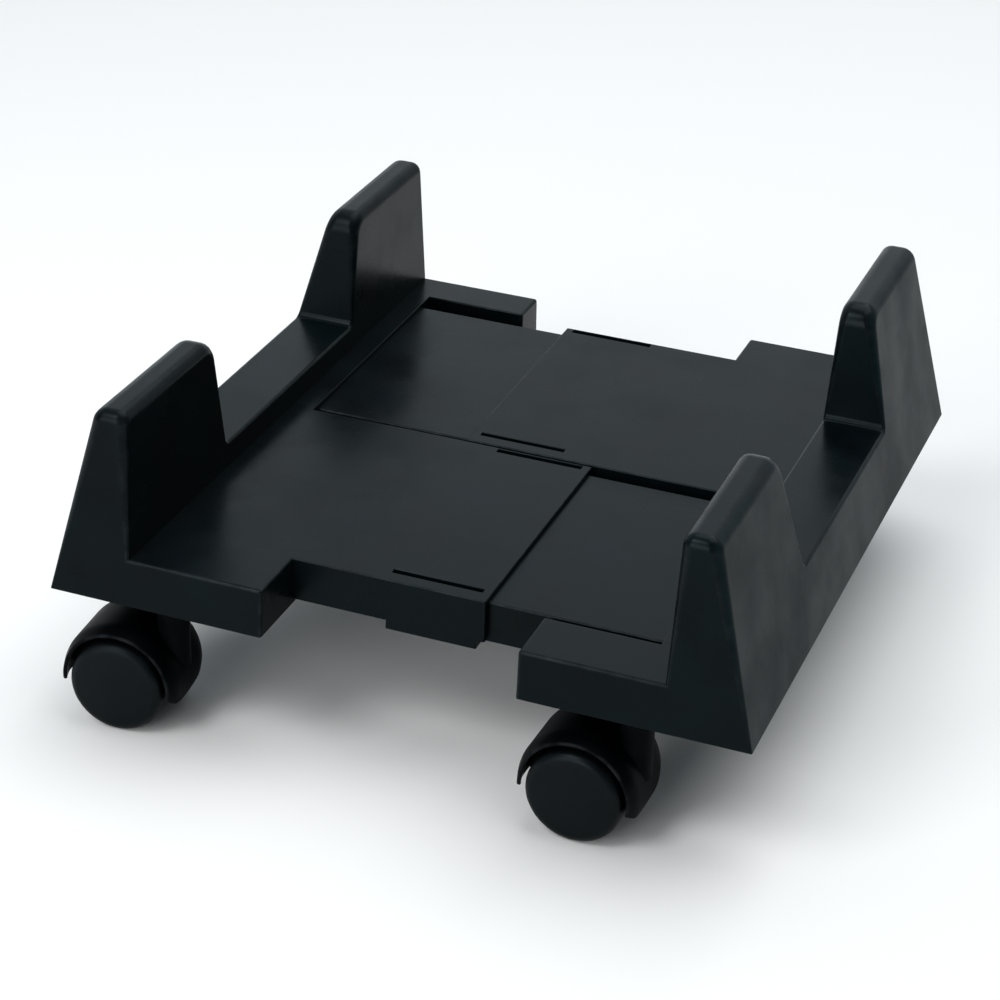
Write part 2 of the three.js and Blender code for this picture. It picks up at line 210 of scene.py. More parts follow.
def rounded(bm, width_of, segments=4):
    """A convex solid with each edge rounded by width_of(middle of the edge), in mm."""
    widths = {e.index: width_of((e.verts[0].co + e.verts[1].co) / 2) for e in bm.edges}
    widest = max(widths.values())
    layer = bm.edges.layers.float.new("bevel_weight_edge")
    for e in bm.edges:
        e[layer] = widths[e.index] / widest
    obj = obj_from_bm(bm, "rounded")
    mod = obj.modifiers.new("bevel", "BEVEL")
    mod.limit_method = "WEIGHT"
    mod.width = widest
    mod.segments = segments
    mod.use_clamp_overlap = True
    evaluated(obj)
    bm = bmesh.new()
    bm.from_mesh(obj.data)
    bpy.data.objects.remove(obj)
    return bm


# A face larger than this area (mm2) and wider than this (mm) stays flat.
FLAT_AREA, FLAT_WIDTH = 12, 2.4
BLEND_ANGLE = 38
WEAR_AND_HIGHLIGHT_GAIN = 30


def finish_mesh(obj):
    """Sets every corner's normal, for a mesh in metres: wide flat faces stay flat, narrow faces blend
    into them and into each other up to the blend angle. A corner attribute is 0 on flat faces and rises
    to 1 on rounded edges; it marks both edge wear and a painted highlight along the rounded edges."""
    mesh = obj.data
    mesh.shade_smooth()
    polys = mesh.polygons
    normals = [p.normal.copy() for p in polys]
    areas = [p.area / MM**2 for p in polys]
    flat = []
    around = [[] for v in mesh.vertices]
    for p in polys:
        corners = [mesh.vertices[v].co for v in p.vertices]
        longest = max((a - b).length for a, b in zip(corners, corners[1:] + corners[:1]))
        width = areas[p.index] * MM / max(longest, 1e-9)
        flat.append(areas[p.index] > FLAT_AREA and width > FLAT_WIDTH)
        for v in p.vertices:
            around[v].append(p.index)
    close = math.cos(math.radians(BLEND_ANGLE))
    shading, worn_and_highlit = [], []
    for p in polys:
        own = normals[p.index]
        for v in p.vertices:
            if flat[p.index]:
                shading.append(own)
                worn_and_highlit.append(0.0)
                continue
            near = [q for q in around[v] if normals[q].dot(own) > close]
            wide = [q for q in near if flat[q]]
            if wide:
                shading.append(normals[max(wide, key=lambda q: normals[q].dot(own))])
            else:
                total = sum((normals[q] * areas[q] for q in near), Vector())
                shading.append(total.normalized() if total.length > 0 else own)
            mean = sum((normals[q] for q in near), Vector()) / max(1, len(near))
            worn_and_highlit.append(min(1.0, (1 - mean.length) * WEAR_AND_HIGHLIGHT_GAIN))
    mesh.normals_split_custom_set(shading)
    mesh.attributes.new("wear_and_highlight", "FLOAT", "CORNER").data.foreach_set("value", worn_and_highlit)


def place(obj, matrix):
    """Puts a mesh built in mm at its place in the shared frame, in metres."""
    obj.data.transform(Matrix.Scale(MM, 4) @ matrix)
    if matrix.determinant() < 0:
        obj.data.flip_normals()
    finish_mesh(obj)


def joined(name, objects):
    """Several meshes as one piece."""
    bm = bmesh.new()
    for o in objects:
        bm.from_mesh(o.data)
        bpy.data.objects.remove(o)
    return obj_from_bm(bm, name)


# ---------------------------------------------------------------- one moulded half
LEAN = TOP_OUTER / POST_TOP
INNER_LEAN = (BASE_INNER - TOP_INNER) / POST_TOP
END_LEAN = POST_TOP_FRONT / POST_TOP


def wall_corners(inset=0.0, floor=0.0):
    """The side wall seen from the side, as (y, z, radius of the corner)."""
    top, rail = POST_TOP - inset, RAIL_TOP - inset
    foot = POST_FOOT_BACK - inset
    back = POST_TOP_BACK - inset
    front = [
        (END_LEAN * floor + inset, floor, 0.6),
        (POST_TOP_FRONT + inset, top, 4.4),
        (back, top, 8.0),
        (foot, rail, 2.6),
    ]
    return front + [(DEPTH - y, z, r) for y, z, r in reversed(front)]


def rounded_outline(corners, steps=13):
    """Points round a closed outline with its corners rounded, each with its outward normal."""
    points = []
    count = len(corners)
    for i, (y, z, radius) in enumerate(corners):
        here = Vector((y, z))
        before = (Vector(corners[i - 1][:2]) - here).normalized()
        after = (Vector(corners[(i + 1) % count][:2]) - here).normalized()
        half = before.angle(after) / 2
        run = radius / math.tan(half)
        centre = here + (before + after).normalized() * (radius / math.sin(half))
        turn = before.x * after.y - before.y * after.x
        start, end = here + before * run - centre, here + after * run - centre
        sweep = start.angle_signed(end)
        for k in range(steps + 1):
            spoke = start.copy()
            spoke.rotate(Matrix.Rotation(-sweep * k / steps, 2))
            normal = spoke.normalized() * (1 if turn > 0 else -1)
            points.append((centre + spoke, normal))
    return points


def wall_bm():
    """A side wall with its two posts: its outline, with the long edges rounded, between two
    leaning faces."""
    steps, foot_radius, rail_radius, post_gain = 5, 0.6, 1.2, 2.8
    bm = bmesh.new()
    rows = []
    for point, normal in rounded_outline(wall_corners()):
        z = point.y
        height = min(1.0, max(0.0, (z - RAIL_TOP - 4) / (POST_TOP - RAIL_TOP - 8)))
        radius = rail_radius + post_gain * height**2 if z > 6 else foot_radius
        row = []
        for side in (0, 1):
            for k in range(steps + 1):
                a = math.radians(90 / steps * (steps - k if side == 0 else k))
                at = point - normal * radius * (1 - math.cos(a))
                depth = radius * (1 - math.sin(a))
                x = LEAN * at.y + depth if side == 0 else BASE_INNER - INNER_LEAN * at.y - depth
                row.append(bm.verts.new((x, at.x, at.y)))
        rows.append(row)
    for near, far in zip(rows, rows[1:] + rows[:1]):
        for k in range(2 * steps + 1):
            bm.faces.new((near[k], near[k + 1], far[k + 1], far[k]))
    bm.faces.new([row[0] for row in rows])
    bm.faces.new([row[-1] for row in rows])
    bmesh.ops.remove_doubles(bm, verts=bm.verts, dist=1e-4)
    bmesh.ops.recalc_face_normals(bm, faces=bm.faces)
    return bm


def wall_hollow_bm():
    """The space inside the side wall, open below."""
    outline = [(y, z) for y, z, r in wall_corners(WALL, -5)]
    bm = prism_bm(outline, -20, 60, "x")
    outer = (Vector((WALL * math.hypot(1, LEAN), 0, 0)), Vector((-1, 0, LEAN)).normalized())
    inner = (Vector((BASE_INNER - WALL, 0, 0)), Vector((1, 0, INNER_LEAN)).normalized())
    return trim(bm, [outer, inner])


def ledge_bm(y0, y1, end, beside_plate):
    """A corner ledge, at the front (end 0) or the rear (end 1). It overlaps the side wall, and
    the plate where there is one beside it. Its end leans with the side wall's."""
    if beside_plate:
        y0, y1 = (y0, y1 + 3.1) if end == 0 else (y0 - 3.1, y1)
    y0, y1 = (y0 - 5, y1) if end == 0 else (y0, y1 + 5)
    body = box_bm(BASE_INNER - 5, LEDGE_END, y0, y1, 0, DECK)
    if end == 0:
        trim(body, [(Vector((0, 0, 0)), Vector((0, -1, END_LEAN)).normalized())])
    else:
        trim(body, [(Vector((0, DEPTH, 0)), Vector((0, 1, END_LEAN)).normalized())])

    def width(mid):
        at_end = min(mid.y, DEPTH - mid.y) < 2
        if mid.x < BASE_INNER or (not at_end and beside_plate and mid.x < LEDGE_END - 0.5):
            return 0.0
        if mid.z < 1:
            return 0.5
        return 1.2 if at_end or mid.x > LEDGE_END - 0.5 else 0.6

    return rounded(body, width)


def plate_bm(x0, x1, y0, y1, z0, z1, top):
    """A plate or tongue, rounded at its free edges."""

    def width(mid):
        if mid.x < x0 + 0.5 or mid.z < z0 + 0.5:
            return 0.0
        return top

    return rounded(box_bm(x0, x1, y0, y1, z0, z1), width, 3)


def hook_bm(y_face, y_lip, y_in):
    """The hook under a plate's skirt: a short wall down from it with a lip turned in."""
    outline = [
        (y_face, SKIRT_BOTTOM + 1),
        (y_face, HOOK_BOTTOM),
        (y_lip, HOOK_BOTTOM),
        (y_lip, HOOK_BOTTOM + HOOK_LIP),
        (y_in, HOOK_BOTTOM + HOOK_LIP),
        (y_in, SKIRT_BOTTOM + 1),
    ]
    bm = prism_bm(outline, SLOT_START, SLOT_END, "x")
    return rounded(bm, lambda mid: 0.3 if mid.z < SKIRT_BOTTOM else 0.0, 3)


def slot_bm(y0, y1):
    """Cutter for a slot, flared at the deck so that the slot's edges are broken."""
    low, flare, top, grow = DECK - 5, DECK - 0.25, DECK + 0.25, 0.25
    outline = [(y0, low), (y1, low), (y1, flare), (y1 + 2 * grow, top), (y0 - 2 * grow, top), (y0, flare)]
    return prism_bm(outline, SLOT_START, SLOT_END, "x")


def half_object(name, plate, tongue, wall, ledges):
    """One half. plate, tongue, wall (the skirt along the strip) and ledges are pairs of y."""
    front_ledge, rear_ledge = ledges
    body = obj_from_bm(wall_bm(), name)
    low = DECK - DECK_SLAB
    solids = [
        ledge_bm(0, front_ledge, 0, front_ledge == plate[0]),
        ledge_bm(rear_ledge, DEPTH, 1, rear_ledge == plate[1]),
        plate_bm(BASE_INNER - 6, STRIP_EDGE, front_ledge - 3, rear_ledge + 3, low - 2, DECK, 0.25),
        box_bm(STRIP_EDGE - WALL, STRIP_EDGE, wall[0], wall[1], TONGUE_BOTTOM, low),
        plate_bm(BASE_INNER - 4, PLATE_END, plate[0], plate[1], SKIRT_BOTTOM, DECK, 0.5),
        plate_bm(STRIP_EDGE - WALL / 2, TONGUE_END, tongue[0], tongue[1], TONGUE_BOTTOM, TONGUE, 0.7),
    ]
    combine(body, solids, "UNION")
    under_plate = [(BASE_INNER - 8.2, -5), (PLATE_END + 5, -5), (PLATE_END + 5, DECK - PLATE_SLAB)]
    under_plate += [(BASE_INNER + 1, DECK - PLATE_SLAB), (BASE_INNER + 1, low), (BASE_INNER - 8.2, low)]
    cutters = [
        wall_hollow_bm(),
        box_bm(BASE_INNER - 8, LEDGE_END - WALL, WALL, front_ledge - WALL, -5, low),
        box_bm(BASE_INNER - 8, LEDGE_END - WALL, rear_ledge + WALL, DEPTH - WALL, -5, low),
        box_bm(BASE_INNER - 8.1, STRIP_EDGE - WALL, front_ledge - 0.4, rear_ledge + 0.4, -5, low),
        prism_bm(under_plate, plate[0] + SKIRT, plate[1] - SKIRT, "y"),
        slot_bm(plate[0] + FRONT_SLOT[0], plate[0] + FRONT_SLOT[1]),
        slot_bm(plate[1] - REAR_SLOT[0], plate[1] - REAR_SLOT[1]),
    ]
    third = (tongue[1] - tongue[0] - SKIRT) / 3
    for i in range(3):
        y0 = tongue[0] + i * third + SKIRT
        y1 = y0 + third - SKIRT
        cutters.append(box_bm(STRIP_EDGE, TONGUE_END + 5, y0, y1, -5, TONGUE - TONGUE_SLAB))
    combine(body, cutters, "DIFFERENCE")
    tidy(body)
    inner = [
        hook_bm(plate[0] + HOOK_FACE, plate[0] + HOOK_END, plate[0] + SKIRT),
        hook_bm(plate[1] - HOOK_FACE, plate[1] - HOOK_END, plate[1] - SKIRT),
    ]
    for t in WALL_RIBS:
        outline = [(6, 1), (BASE_INNER - 3, 1), (BASE_INNER - 3, RAIL_TOP - 1), (9, RAIL_TOP - 1)]
        inner.append(prism_bm(outline, DEPTH * t - WALL_RIB_HALF, DEPTH * t + WALL_RIB_HALF, "y"))
    for y, end_wall in ((STEM_BACK, WALL / 2), (DEPTH - STEM_BACK, DEPTH - WALL / 2)):
        y0, y1 = y - SOCKET_RIB_HALF, y + SOCKET_RIB_HALF
        inner.append(box_bm(10, STEM_IN - SOCKET_R + 0.5, y0, y1, 1, DECK - 1))
        inner.append(box_bm(STEM_IN + SOCKET_R - 0.5, LEDGE_END - 1, y0, y1, 1, DECK - 1))
        ends = sorted((y + math.copysign(SOCKET_R - 0.5, end_wall - y), end_wall))
        x0, x1 = STEM_IN - SOCKET_RIB_HALF, STEM_IN + SOCKET_RIB_HALF
        inner.append(box_bm(x0, x1, *ends, 1, DECK - 1))
        section = [(SOCKET_BORE, SOCKET_RIB_TOP), (SOCKET_BORE, 0.6), (5.1, 0), (6.2, 0)]
        section += [(SOCKET_R, 0.5), (SOCKET_R, SOCKET_RIB_TOP), (SOCKET_BORE, SOCKET_RIB_TOP)]
        inner.append(upright(revolve_bm(section, 48), STEM_IN, y))
    for y in (tongue[0] + FRONT_TAB, tongue[1] - REAR_TAB):
        inner.append(box_bm(TONGUE_END - TAB_SIZE, TONGUE_END, y, y + TAB_SIZE, TAB_BOTTOM, TONGUE - 1))
    return joined(name, [body] + [obj_from_bm(bm, "rib") for bm in inner])


MID_FRONT, MID_REAR = DEPTH / 2 - SEAM / 2, DEPTH / 2 + SEAM / 2
WRAP = SKIRT + SKIRT_CLEARANCE
left_shell = half_object(
    "left_shell",
    (FRONT_PLATE_EDGE, MID_FRONT),
    (MID_REAR + WRAP, REAR_PLATE_EDGE - WRAP),
    (MID_FRONT - SKIRT, REAR_TONGUE_LEDGE + 1),
    (FRONT_PLATE_EDGE, REAR_TONGUE_LEDGE),
)
right_shell = half_object(
    "right_shell",
    (MID_REAR, REAR_PLATE_EDGE),
    (FRONT_PLATE_EDGE + WRAP, MID_FRONT - WRAP),
    (FRONT_TONGUE_LEDGE - 1, MID_REAR + SKIRT),
    (FRONT_TONGUE_LEDGE, REAR_PLATE_EDGE),
)
for shell, side in ((left_shell, -1), (right_shell, 1)):
    corner = Matrix.Translation((side * HALF_WIDTH, -DEPTH / 2, SHELL_BOTTOM))
    place(shell, corner @ Matrix.Diagonal((-side, 1, 1, 1)))

# ---------------------------------------------------------------- caster pieces
# Built in mm with the axle along Y through the origin and the swivel axis at x = TRAIL.
HOOD_SIDES = HOOD_HALF - HOOD_BAND
STEM_BASE = SHELL_BOTTOM - WHEEL_R
BOSS_TOP = STEM_BASE - 1.7


def hood_radius(y):
    past = max(0.0, abs(y) - HOOD_BAND) / HOOD_SIDES
    return HOOD_R - (HOOD_R - HOOD_END_R) * past**1.6


def hood_front_edge(y):
    return HOOD_FRONT_LOW + HOOD_FRONT_RISE * min(1.0, abs(y) / HOOD_HALF) ** 1.8


def hood_cover_bm():
    """The barrel-shaped cover: its wall's section, with rounded rims, swept round the axle
    between the two lower edges."""
    rim, across, steps = 0.75, 26, 80
    flat = HOOD_HALF - rim
    ys = [-flat + 2 * flat * i / across for i in range(across + 1)]
    section = [(hood_radius(y), y) for y in ys]
    middle = hood_radius(flat) - HOOD_WALL / 2
    arc = [math.radians(a) for a in (65, 35, 0, -35, -65)]
    section += [(middle + HOOD_WALL / 2 * math.sin(a), flat + rim * math.cos(a)) for a in arc]
    section += [(hood_radius(y) - HOOD_WALL, y) for y in reversed(ys)]
    section += [(middle + HOOD_WALL / 2 * math.sin(a), -flat - rim * math.cos(a)) for a in reversed(arc)]
    bm = bmesh.new()
    rings = []
    for r, y in section:
        front = math.asin((hood_front_edge(y) - HOOD_LIFT) / r)
        back = math.pi + math.asin((HOOD_BACK + HOOD_LIFT) / r)
        ring = []
        for i in range(steps + 1):
            a = front + (back - front) * i / steps
            ring.append(bm.verts.new((r * math.cos(a), y, HOOD_LIFT + r * math.sin(a))))
        rings.append(ring)
    for near, far in zip(rings, rings[1:] + rings[:1]):
        for i in range(steps):
            bm.faces.new((near[i], near[i + 1], far[i + 1], far[i]))
    inner_start = across + 1 + len(arc)
    inner_end = inner_start + across
    outer, inner = rings[: across + 1], list(reversed(rings[inner_start : inner_end + 1]))
    for i in (0, steps):
        for k in range(across):
            bm.faces.new((outer[k][i], outer[k + 1][i], inner[k + 1][i], inner[k][i]))
        bm.faces.new([ring[i] for ring in rings[across : inner_start + 1]])
        bm.faces.new([ring[i] for ring in rings[inner_end:] + rings[:1]])
    bmesh.ops.recalc_face_normals(bm, faces=bm.faces)
    return bm


def hood_web_bm():
    """The web between the wheels, with the hub that carries the axle."""
    r = HOOD_R - 0.7
    front = math.degrees(math.asin((-7.8 - HOOD_LIFT) / r))
    top = [math.radians(front + (184 - front) * i / 56) for i in range(57)]
    outline = [(r * math.cos(a), HOOD_LIFT + r * math.sin(a)) for a in top]
    hub = [math.radians(188 + (300 - 188) * i / 14) for i in range(15)]
    hub_r = AXLE_R + 3
    outline += [(hub_r * math.cos(a), hub_r * math.sin(a)) for a in hub]
    outline += [(6.5, -7.2), (8.5, -7.8)]
    return prism_bm(outline, -WEB_HALF, WEB_HALF, "y")


def round_edges(obj, width):
    mod = obj.modifiers.new("bevel", "BEVEL")
    mod.limit_method = "ANGLE"
    mod.angle_limit = math.radians(40)
    mod.width = width
    mod.segments = 3
    mod.use_clamp_overlap = True
    return evaluated(obj)


def hood_template():
    cover = round_edges(obj_from_bm(hood_cover_bm(), "cover"), 0.35)
    web = obj_from_bm(hood_web_bm(), "web")
    round_edges(web, 0.4)
    bore = revolve_bm([(0, -20), (AXLE_R + 0.3, -20), (AXLE_R + 0.3, 20), (0, 20)], 48)
    combine(web, [bore], "DIFFERENCE")
    profile = [(3.3, 5), (BOSS_R + 0.1, 5), (BOSS_R, BOSS_TOP - 0.9)]
    for a in (0.4, 0.8, 1.2, 1.57):
        profile.append((BOSS_R - 0.9 + 0.9 * math.cos(a), BOSS_TOP - 0.9 + 0.9 * math.sin(a)))
    profile += [(3.7, BOSS_TOP), (3.3, BOSS_TOP - 0.4), (3.3, 5)]
    boss = obj_from_bm(upright(revolve_bm(profile, 64), TRAIL), "boss")
    wheel_space = [
        revolve_bm([(0, y0), (WHEEL_R + 0.6, y0), (WHEEL_R + 0.6, y1), (0, y1)], 96)
        for y0, y1 in ((WEB_HALF, 20), (-20, -WEB_HALF))
    ]
    combine(boss, wheel_space, "DIFFERENCE")
    return joined("hood", [cover, web, boss])


def wheel_template():
    inner = WEB_HALF + 0.5
    shoulder = [math.radians(a) for a in (0, 12, 24, 36, 48, 60, 72, 84)]
    face_r, shoulder_y = 13.2, 2.6
    rim_y, shoulder_r = WHEEL_FACE - shoulder_y, WHEEL_R - face_r
    profile = [
        (AXLE_R + 0.05, inner),
        (5.2, inner),
        (5.4, inner + 1.4),
        (13.6, inner + 1.4),
        (13.9, inner),
        (WHEEL_R - 0.7, inner),
        (WHEEL_R - 0.2, inner + 0.2),
        (WHEEL_R, inner + 0.7),
    ]
    for a in shoulder:
        profile.append((face_r + shoulder_r * math.cos(a), rim_y + shoulder_y * math.sin(a)))
    for i in range(12):
        r = 12.8 * (1 - i / 11)
        profile.append((r, WHEEL_FACE + WHEEL_CROWN * (1 - (r / face_r) ** 2)))
    profile += [(0, WHEEL_FACE - 4), (AXLE_R + 0.05, WHEEL_FACE - 4), (AXLE_R + 0.05, inner)]
    return obj_from_bm(revolve_bm(profile, 120), "wheel")


def axle_template():
    r, end = AXLE_R - 0.05, WHEEL_FACE - 4.3
    profile = [(0, -end), (r - 0.3, -end), (r, -end + 0.3), (r, end - 0.3), (r - 0.3, end), (0, end)]
    return obj_from_bm(revolve_bm(profile, 48), "axle")


def stem_template():
    top, groove = STEM_BASE + 13.6, STEM_BASE + 9
    r = STEM_R
    profile = [(0, 7.4), (r - 0.3, 7.4), (r, 7.7), (r, groove), (r - 0.6, groove), (r - 0.6, groove + 2)]
    profile += [(r, groove + 2), (r, top - 0.8), (r - 0.8, top), (0, top)]
    return obj_from_bm(upright(revolve_bm(profile, 64), TRAIL), "stem")


def ring_template():
    low, high = STEM_BASE + 9.3, STEM_BASE + 10.7
    middle = (low + high) / 2
    section = [(2.7, low), (3.5, low), (3.7, middle), (3.5, high), (2.7, high), (2.7, low)]
    bm = revolve_bm(section, 48, math.radians(14), math.radians(332))
    loose = [e for e in bm.edges if e.is_boundary]
    bmesh.ops.edgenet_fill(bm, edges=loose)
    bmesh.ops.recalc_face_normals(bm, faces=bm.faces)
    return obj_from_bm(upright(bm, TRAIL), "ring")


def sleeve_template():
    """Measured from the mouldings' lower edge."""
    section = [(3.1, -1.4), (5.7, -1.4), (6.0, -1.1), (6.0, -0.5), (5.8, -0.3), (4.4, -0.3)]
    section += [(4.4, 12.2), (4.0, 12.6), (3.1, 12.6), (3.1, 11.4), (4.0, 11.4), (4.0, 8.6)]
    section += [(3.1, 8.6), (3.1, -1.4)]
    return obj_from_bm(upright(revolve_bm(section, 64)), "sleeve")


templates = {
    "hood": (hood_template(), "hood"),
    "stem": (stem_template(), "steel"),
    "stem_ring": (ring_template(), "steel"),
    "axle": (axle_template(), "steel"),
    "stem_sleeve": (sleeve_template(), "sleeve"),
    "wheel_front": (wheel_template(), "wheel"),
    "wheel_rear": (wheel_template(), "wheel"),
}
pieces = [
    (left_shell, "left_base", "left_frame", "base"),
    (right_shell, "right_base", "right_frame", "base"),
]
for corner in ("front_left", "front_right", "rear_left", "rear_right"):
    stem_at = Vector(JOINTS[corner + "_swivel"]["pos_m"]) / MM
    axle_at = Vector(JOINTS[corner + "_wheel_front_spin"]["pos_m"]) / MM
    toward = Vector((stem_at.x - axle_at.x, stem_at.y - axle_at.y, 0))
    turn = Matrix.Rotation(math.atan2(toward.y, toward.x), 4, "Z")
    fork = Matrix.Translation(axle_at) @ turn
    seat = Matrix.Translation((stem_at.x, stem_at.y, SHELL_BOTTOM))
    bodies = {
        "stem_sleeve": "left_frame" if corner.endswith("left") else "right_frame",
        "wheel_front": corner + "_wheel_front",
        "wheel_rear": corner + "_wheel_rear",
    }
    for kind, (made, slot_name) in templates.items():
        piece = bpy.data.objects.new(corner + "_" + kind + "_piece", made.data.copy())
        bpy.context.scene.collection.objects.link(piece)
        where = seat if kind == "stem_sleeve" else fork
        if kind == "wheel_front":
            where = where @ Matrix.Diagonal((1, -1, 1, 1))
        place(piece, where)
        body = bodies.get(kind, corner + "_caster")
        pieces.append((piece, corner + "_" + kind, body, slot_name))
for made, slot_name in templates.values():
    bpy.data.objects.remove(made)

# ---------------------------------------------------------------- materials


class Nodes:
    """Adds nodes to a tree and links them in one call."""

    def __init__(self, tree):
        self.tree = tree
        tree.nodes.clear()

    def add(self, kind, inputs=None, **settings):
        node = self.tree.nodes.new(kind)
        for key, value in settings.items():
            setattr(node, key, value)
        for key, value in (inputs or {}).items():
            socket = node.inputs[key]
            if isinstance(value, bpy.types.NodeSocket):
                self.tree.links.new(value, socket)
            else:
                socket.default_value = value
        return node


def ramp(nodes, source, low, high, out_low, out_high):
    inputs = {"Value": source, "From Min": low, "From Max": high, "To Min": out_low, "To Max": out_high}
    return nodes.add("ShaderNodeMapRange", inputs).outputs["Result"]


def mix_colour(nodes, factor, a, b, blend="MIX"):
    node = nodes.add("ShaderNodeMix", data_type="RGBA", blend_type=blend)
    for index, value in ((0, factor), (6, a), (7, b)):
        if isinstance(value, bpy.types.NodeSocket):
            nodes.tree.links.new(value, node.inputs[index])
        else:
            node.inputs[index].default_value = value
    return node.outputs[2]


def noise(nodes, vector, scale, detail, roughness):
    inputs = {"Vector": vector, "Scale": scale, "Detail": detail, "Roughness": roughness}
    return nodes.add("ShaderNodeTexNoise", inputs).outputs["Fac"]


# Depths are in metres, colours are linear.
GRAIN_DEPTH, GRAIN_SCALE = 0.00002, 2200
SINK_DEPTH = 0.0004
# The edge colour below lightens rounded edges: partly greyed by handling, partly a painted highlight
# standing in for light caught on the edges.
HANDLED_AND_HIGHLIGHT, WEAR_AND_HIGHLIGHT_AMOUNT, WEAR_POLISH = (0.03, 0.034, 0.037, 1), 0.35, -0.25
CAST = (0.0014, 0.0038, 0.0046, 1)
# The two colours below are painted on outward faces: a brighter blue-green painted sheen standing in for
# reflected light.
OUTSIDE_PAINTED_SHEEN_LOW, OUTSIDE_PAINTED_SHEEN_HIGH = (0.0024, 0.0044, 0.0070, 1), (0.0012, 0.0078, 0.0090, 1)
TINT = (0.8, 1.0, 1.04, 1)


def plastic(name, colour, rough, specular, outside=0.0):
    """Moulded plastic: a fine spark-eroded grain, faint mottling in colour and gloss, and edges that are
    polished and painted lighter, partly greyed by handling and partly a painted highlight. Faces that
    look away from the middle of the stand are rougher by outside, and are painted a brighter blue-green,
    a painted sheen standing in for reflected light; with outside set, all faces also get faint blue-green
    patches at random."""
    material = bpy.data.materials.new(name)
    material.use_nodes = True
    n = Nodes(material.node_tree)
    where = n.add("ShaderNodeTexCoord").outputs["Object"]
    fine = noise(n, where, GRAIN_SCALE, 2.0, 0.6)
    flow = noise(n, where, 45, 4.0, 0.55)
    broad = noise(n, where, 12, 2.0, 0.5)
    light = tuple(c * 1.3 for c in colour)
    dark = tuple(c * 0.78 for c in colour)
    base = mix_colour(n, ramp(n, flow, 0.3, 0.7, 0, 1), (*dark, 1), (*light, 1))
    if outside:
        facing = n.add("ShaderNodeTexCoord").outputs["Normal"]
        away = n.add("ShaderNodeVectorMath", {0: facing, 1: where}, operation="MULTIPLY").outputs[0]
        away = ramp(n, n.add("ShaderNodeSeparateXYZ", {0: away}).outputs["X"], 0.04, 0.08, 0, 1)
        tone_and_sheen_mottle = ramp(n, noise(n, where, 34, 3.0, 0.6), 0.36, 0.64, 0, 1)
        base = mix_colour(n, tone_and_sheen_mottle, base, CAST)
        # Painted sheen: faces that look outwards are painted a brighter blue-green, standing in for the
        # reflection of the pale surroundings.
        base = mix_colour(n, away, base, mix_colour(n, tone_and_sheen_mottle, OUTSIDE_PAINTED_SHEEN_LOW, OUTSIDE_PAINTED_SHEEN_HIGH))
    speck = ramp(n, fine, 0.35, 0.75, 0.86, 1.12)
    speck = n.add("ShaderNodeCombineColor", {"Red": speck, "Green": speck, "Blue": speck}).outputs[0]
    base = mix_colour(n, 1.0, base, speck, "MULTIPLY")
    edge = n.add("ShaderNodeAttribute", attribute_name="wear_and_highlight").outputs["Fac"]
    patchy = ramp(n, noise(n, where, 130, 3.0, 0.65), 0.42, 0.62, 0.15, 1)
    wear_and_highlight = n.add("ShaderNodeMath", {0: edge, 1: patchy}, operation="MULTIPLY").outputs[0]
    wear_and_highlight = n.add("ShaderNodeMath", {0: wear_and_highlight, 1: WEAR_AND_HIGHLIGHT_AMOUNT}, operation="MULTIPLY").outputs[0]
    # Rounded edges are painted lighter: partly handling wear, partly a painted highlight.
    base = mix_colour(n, wear_and_highlight, base, HANDLED_AND_HIGHLIGHT)
    gloss = ramp(n, broad, 0.3, 0.7, rough - 0.04, rough + 0.05)
    smudge = ramp(n, flow, 0.35, 0.65, -0.05, 0.05)
    gloss = n.add("ShaderNodeMath", {0: gloss, 1: smudge}, operation="ADD").outputs[0]
    if outside:
        rougher = n.add("ShaderNodeMath", {0: away, 1: outside}, operation="MULTIPLY").outputs[0]
        gloss = n.add("ShaderNodeMath", {0: gloss, 1: rougher}, operation="ADD").outputs[0]
    polish = n.add("ShaderNodeMath", {0: wear_and_highlight, 1: WEAR_POLISH}, operation="MULTIPLY").outputs[0]
    gloss = n.add("ShaderNodeMath", {0: gloss, 1: polish}, operation="ADD").outputs[0]
    relief = {"Height": fine, "Distance": GRAIN_DEPTH, "Strength": 0.4}
    bump = n.add("ShaderNodeBump", relief).outputs["Normal"]
    relief = {"Height": broad, "Distance": SINK_DEPTH, "Strength": 0.25, "Normal": bump}
    sink = n.add("ShaderNodeBump", relief).outputs["Normal"]
    inputs = {"Base Color": base, "Roughness": gloss, "Normal": sink, "IOR": 1.46}
    shader = n.add("ShaderNodeBsdfPrincipled", inputs)
    shader.inputs["Specular IOR Level"].default_value = specular
    shader.inputs["Specular Tint"].default_value = TINT
    n.add("ShaderNodeOutputMaterial", {"Surface": shader.outputs[0]})
    return material


def turned_steel(name):
    """Steel with fine turning marks round its axis."""
    material = bpy.data.materials.new(name)
    material.use_nodes = True
    n = Nodes(material.node_tree)
    where = n.add("ShaderNodeTexCoord").outputs["Object"]
    stretched = n.add("ShaderNodeMapping", {"Vector": where, "Scale": (1, 1, 14)}).outputs[0]
    lines = noise(n, stretched, 900, 3.0, 0.6)
    tone = mix_colour(n, lines, (0.42, 0.43, 0.44, 1), (0.66, 0.67, 0.68, 1))
    gloss = ramp(n, lines, 0.3, 0.7, 0.24, 0.38)
    relief = {"Height": lines, "Distance": 0.00001, "Strength": 0.5}
    bump = n.add("ShaderNodeBump", relief).outputs["Normal"]
    inputs = {"Base Color": tone, "Roughness": gloss, "Normal": bump, "Metallic": 1.0}
    shader = n.add("ShaderNodeBsdfPrincipled", inputs)
    n.add("ShaderNodeOutputMaterial", {"Surface": shader.outputs[0]})
    return material


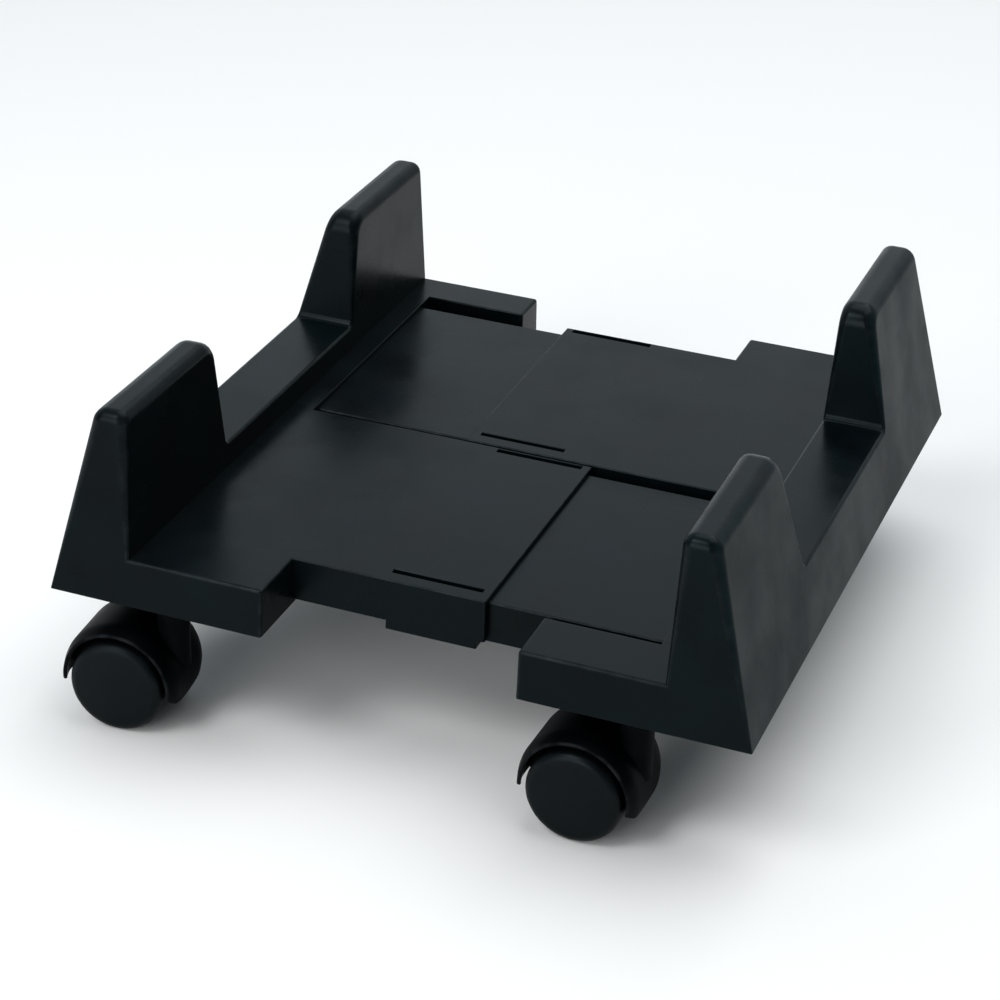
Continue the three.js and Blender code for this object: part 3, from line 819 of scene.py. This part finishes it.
finishes = {
    "base": plastic("base_plastic", (0.0011, 0.0020, 0.0027), 0.28, specular=0.085, outside=0.17),
    "hood": plastic("hood_plastic", (0.0006, 0.0008, 0.0013), 0.44, specular=0.03),
    "wheel": plastic("wheel_plastic", (0.0014, 0.0021, 0.0028), 0.42, specular=0.11),
    "sleeve": plastic("sleeve_plastic", (0.0030, 0.0030, 0.0033), 0.5, specular=0.25),
    "steel": turned_steel("turned_steel"),
}
for piece, node, body, slot_name in pieces:
    piece.data.materials.clear()
    piece.data.materials.append(finishes[slot_name])
    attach(piece, body)
    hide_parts(node)

# ---------------------------------------------------------------- floor, light, camera
floor_bm = bmesh.new()
bmesh.ops.create_grid(floor_bm, x_segments=1, y_segments=1, size=12)
floor = obj_from_bm(floor_bm, "floor")
floor_material = bpy.data.materials.new("pale_floor")
floor_material.use_nodes = True
n = Nodes(floor_material.node_tree)
matt = n.add("ShaderNodeBsdfPrincipled", {"Base Color": (0.8, 0.8, 0.8, 1), "Roughness": 0.9})
matt.inputs["Specular IOR Level"].default_value = 0.1
n.add("ShaderNodeOutputMaterial", {"Surface": matt.outputs[0]})
floor.data.materials.append(floor_material)

world = bpy.data.worlds.new("studio")
bpy.context.scene.world = world
world.use_nodes = True
n = Nodes(world.node_tree)
# The room is brightest low down at the back, behind the object, and dim overhead.
toward = n.add("ShaderNodeTexCoord").outputs["Generated"]
BRIGHTEST = (-0.34, 0.88, 0.33)
away = n.add("ShaderNodeVectorMath", {0: toward, 1: BRIGHTEST}, operation="DOT_PRODUCT")
glow = ramp(n, away.outputs["Value"], 0.1, 1.0, 0.10, 1.28)
sky = n.add("ShaderNodeBackground", {"Color": (0.86, 0.95, 1.0, 1), "Strength": glow})
n.add("ShaderNodeOutputWorld", {"Surface": sky.outputs[0]})


def soft_light(name, place_at, aim, size, power):
    light = bpy.data.lights.new(name, "AREA")
    light.shape = "RECTANGLE"
    light.size, light.size_y = size
    light.energy = power
    lamp = bpy.data.objects.new(name, light)
    bpy.context.scene.collection.objects.link(lamp)
    lamp.location = place_at
    lamp.rotation_euler = (Vector(aim) - Vector(place_at)).to_track_quat("-Z", "Y").to_euler()


soft_light("top_box", (0.3, 0.5, 1.7), (0, 0, 0.05), (1.6, 1.6), 21)
soft_light("key_box", (-0.62, -1.05, 1.55), (-0.02, -0.1, 0.04), (0.75, 0.75), 14)
soft_light("front_box", (-0.5, -1.6, 0.6), (0, -0.1, 0.06), (1.3, 0.9), 16)

AZIMUTH, ELEVATION, ROLL = math.radians(20.43), math.radians(28.57), math.radians(1.96)
TARGET, DISTANCE = Vector((0.0048, -0.0407, 0.0656)), 0.9175
out = math.cos(ELEVATION)
back = Vector((math.sin(AZIMUTH) * out, -math.cos(AZIMUTH) * out, math.sin(ELEVATION)))
level = Vector((math.cos(AZIMUTH), math.sin(AZIMUTH), 0))
rise = back.cross(level)
right = level * math.cos(ROLL) + rise * math.sin(ROLL)
up = rise * math.cos(ROLL) - level * math.sin(ROLL)
camera_data = bpy.data.cameras.new("camera")
camera_data.sensor_width = 36
camera_data.lens = 96.6
camera = bpy.data.objects.new("camera", camera_data)
bpy.context.scene.collection.objects.link(camera)
turned = Matrix((right, up, back)).transposed().to_4x4()
camera.matrix_world = Matrix.Translation(TARGET + back * DISTANCE) @ turned
bpy.context.scene.camera = camera
bpy.context.scene.view_settings.view_transform = "Standard"
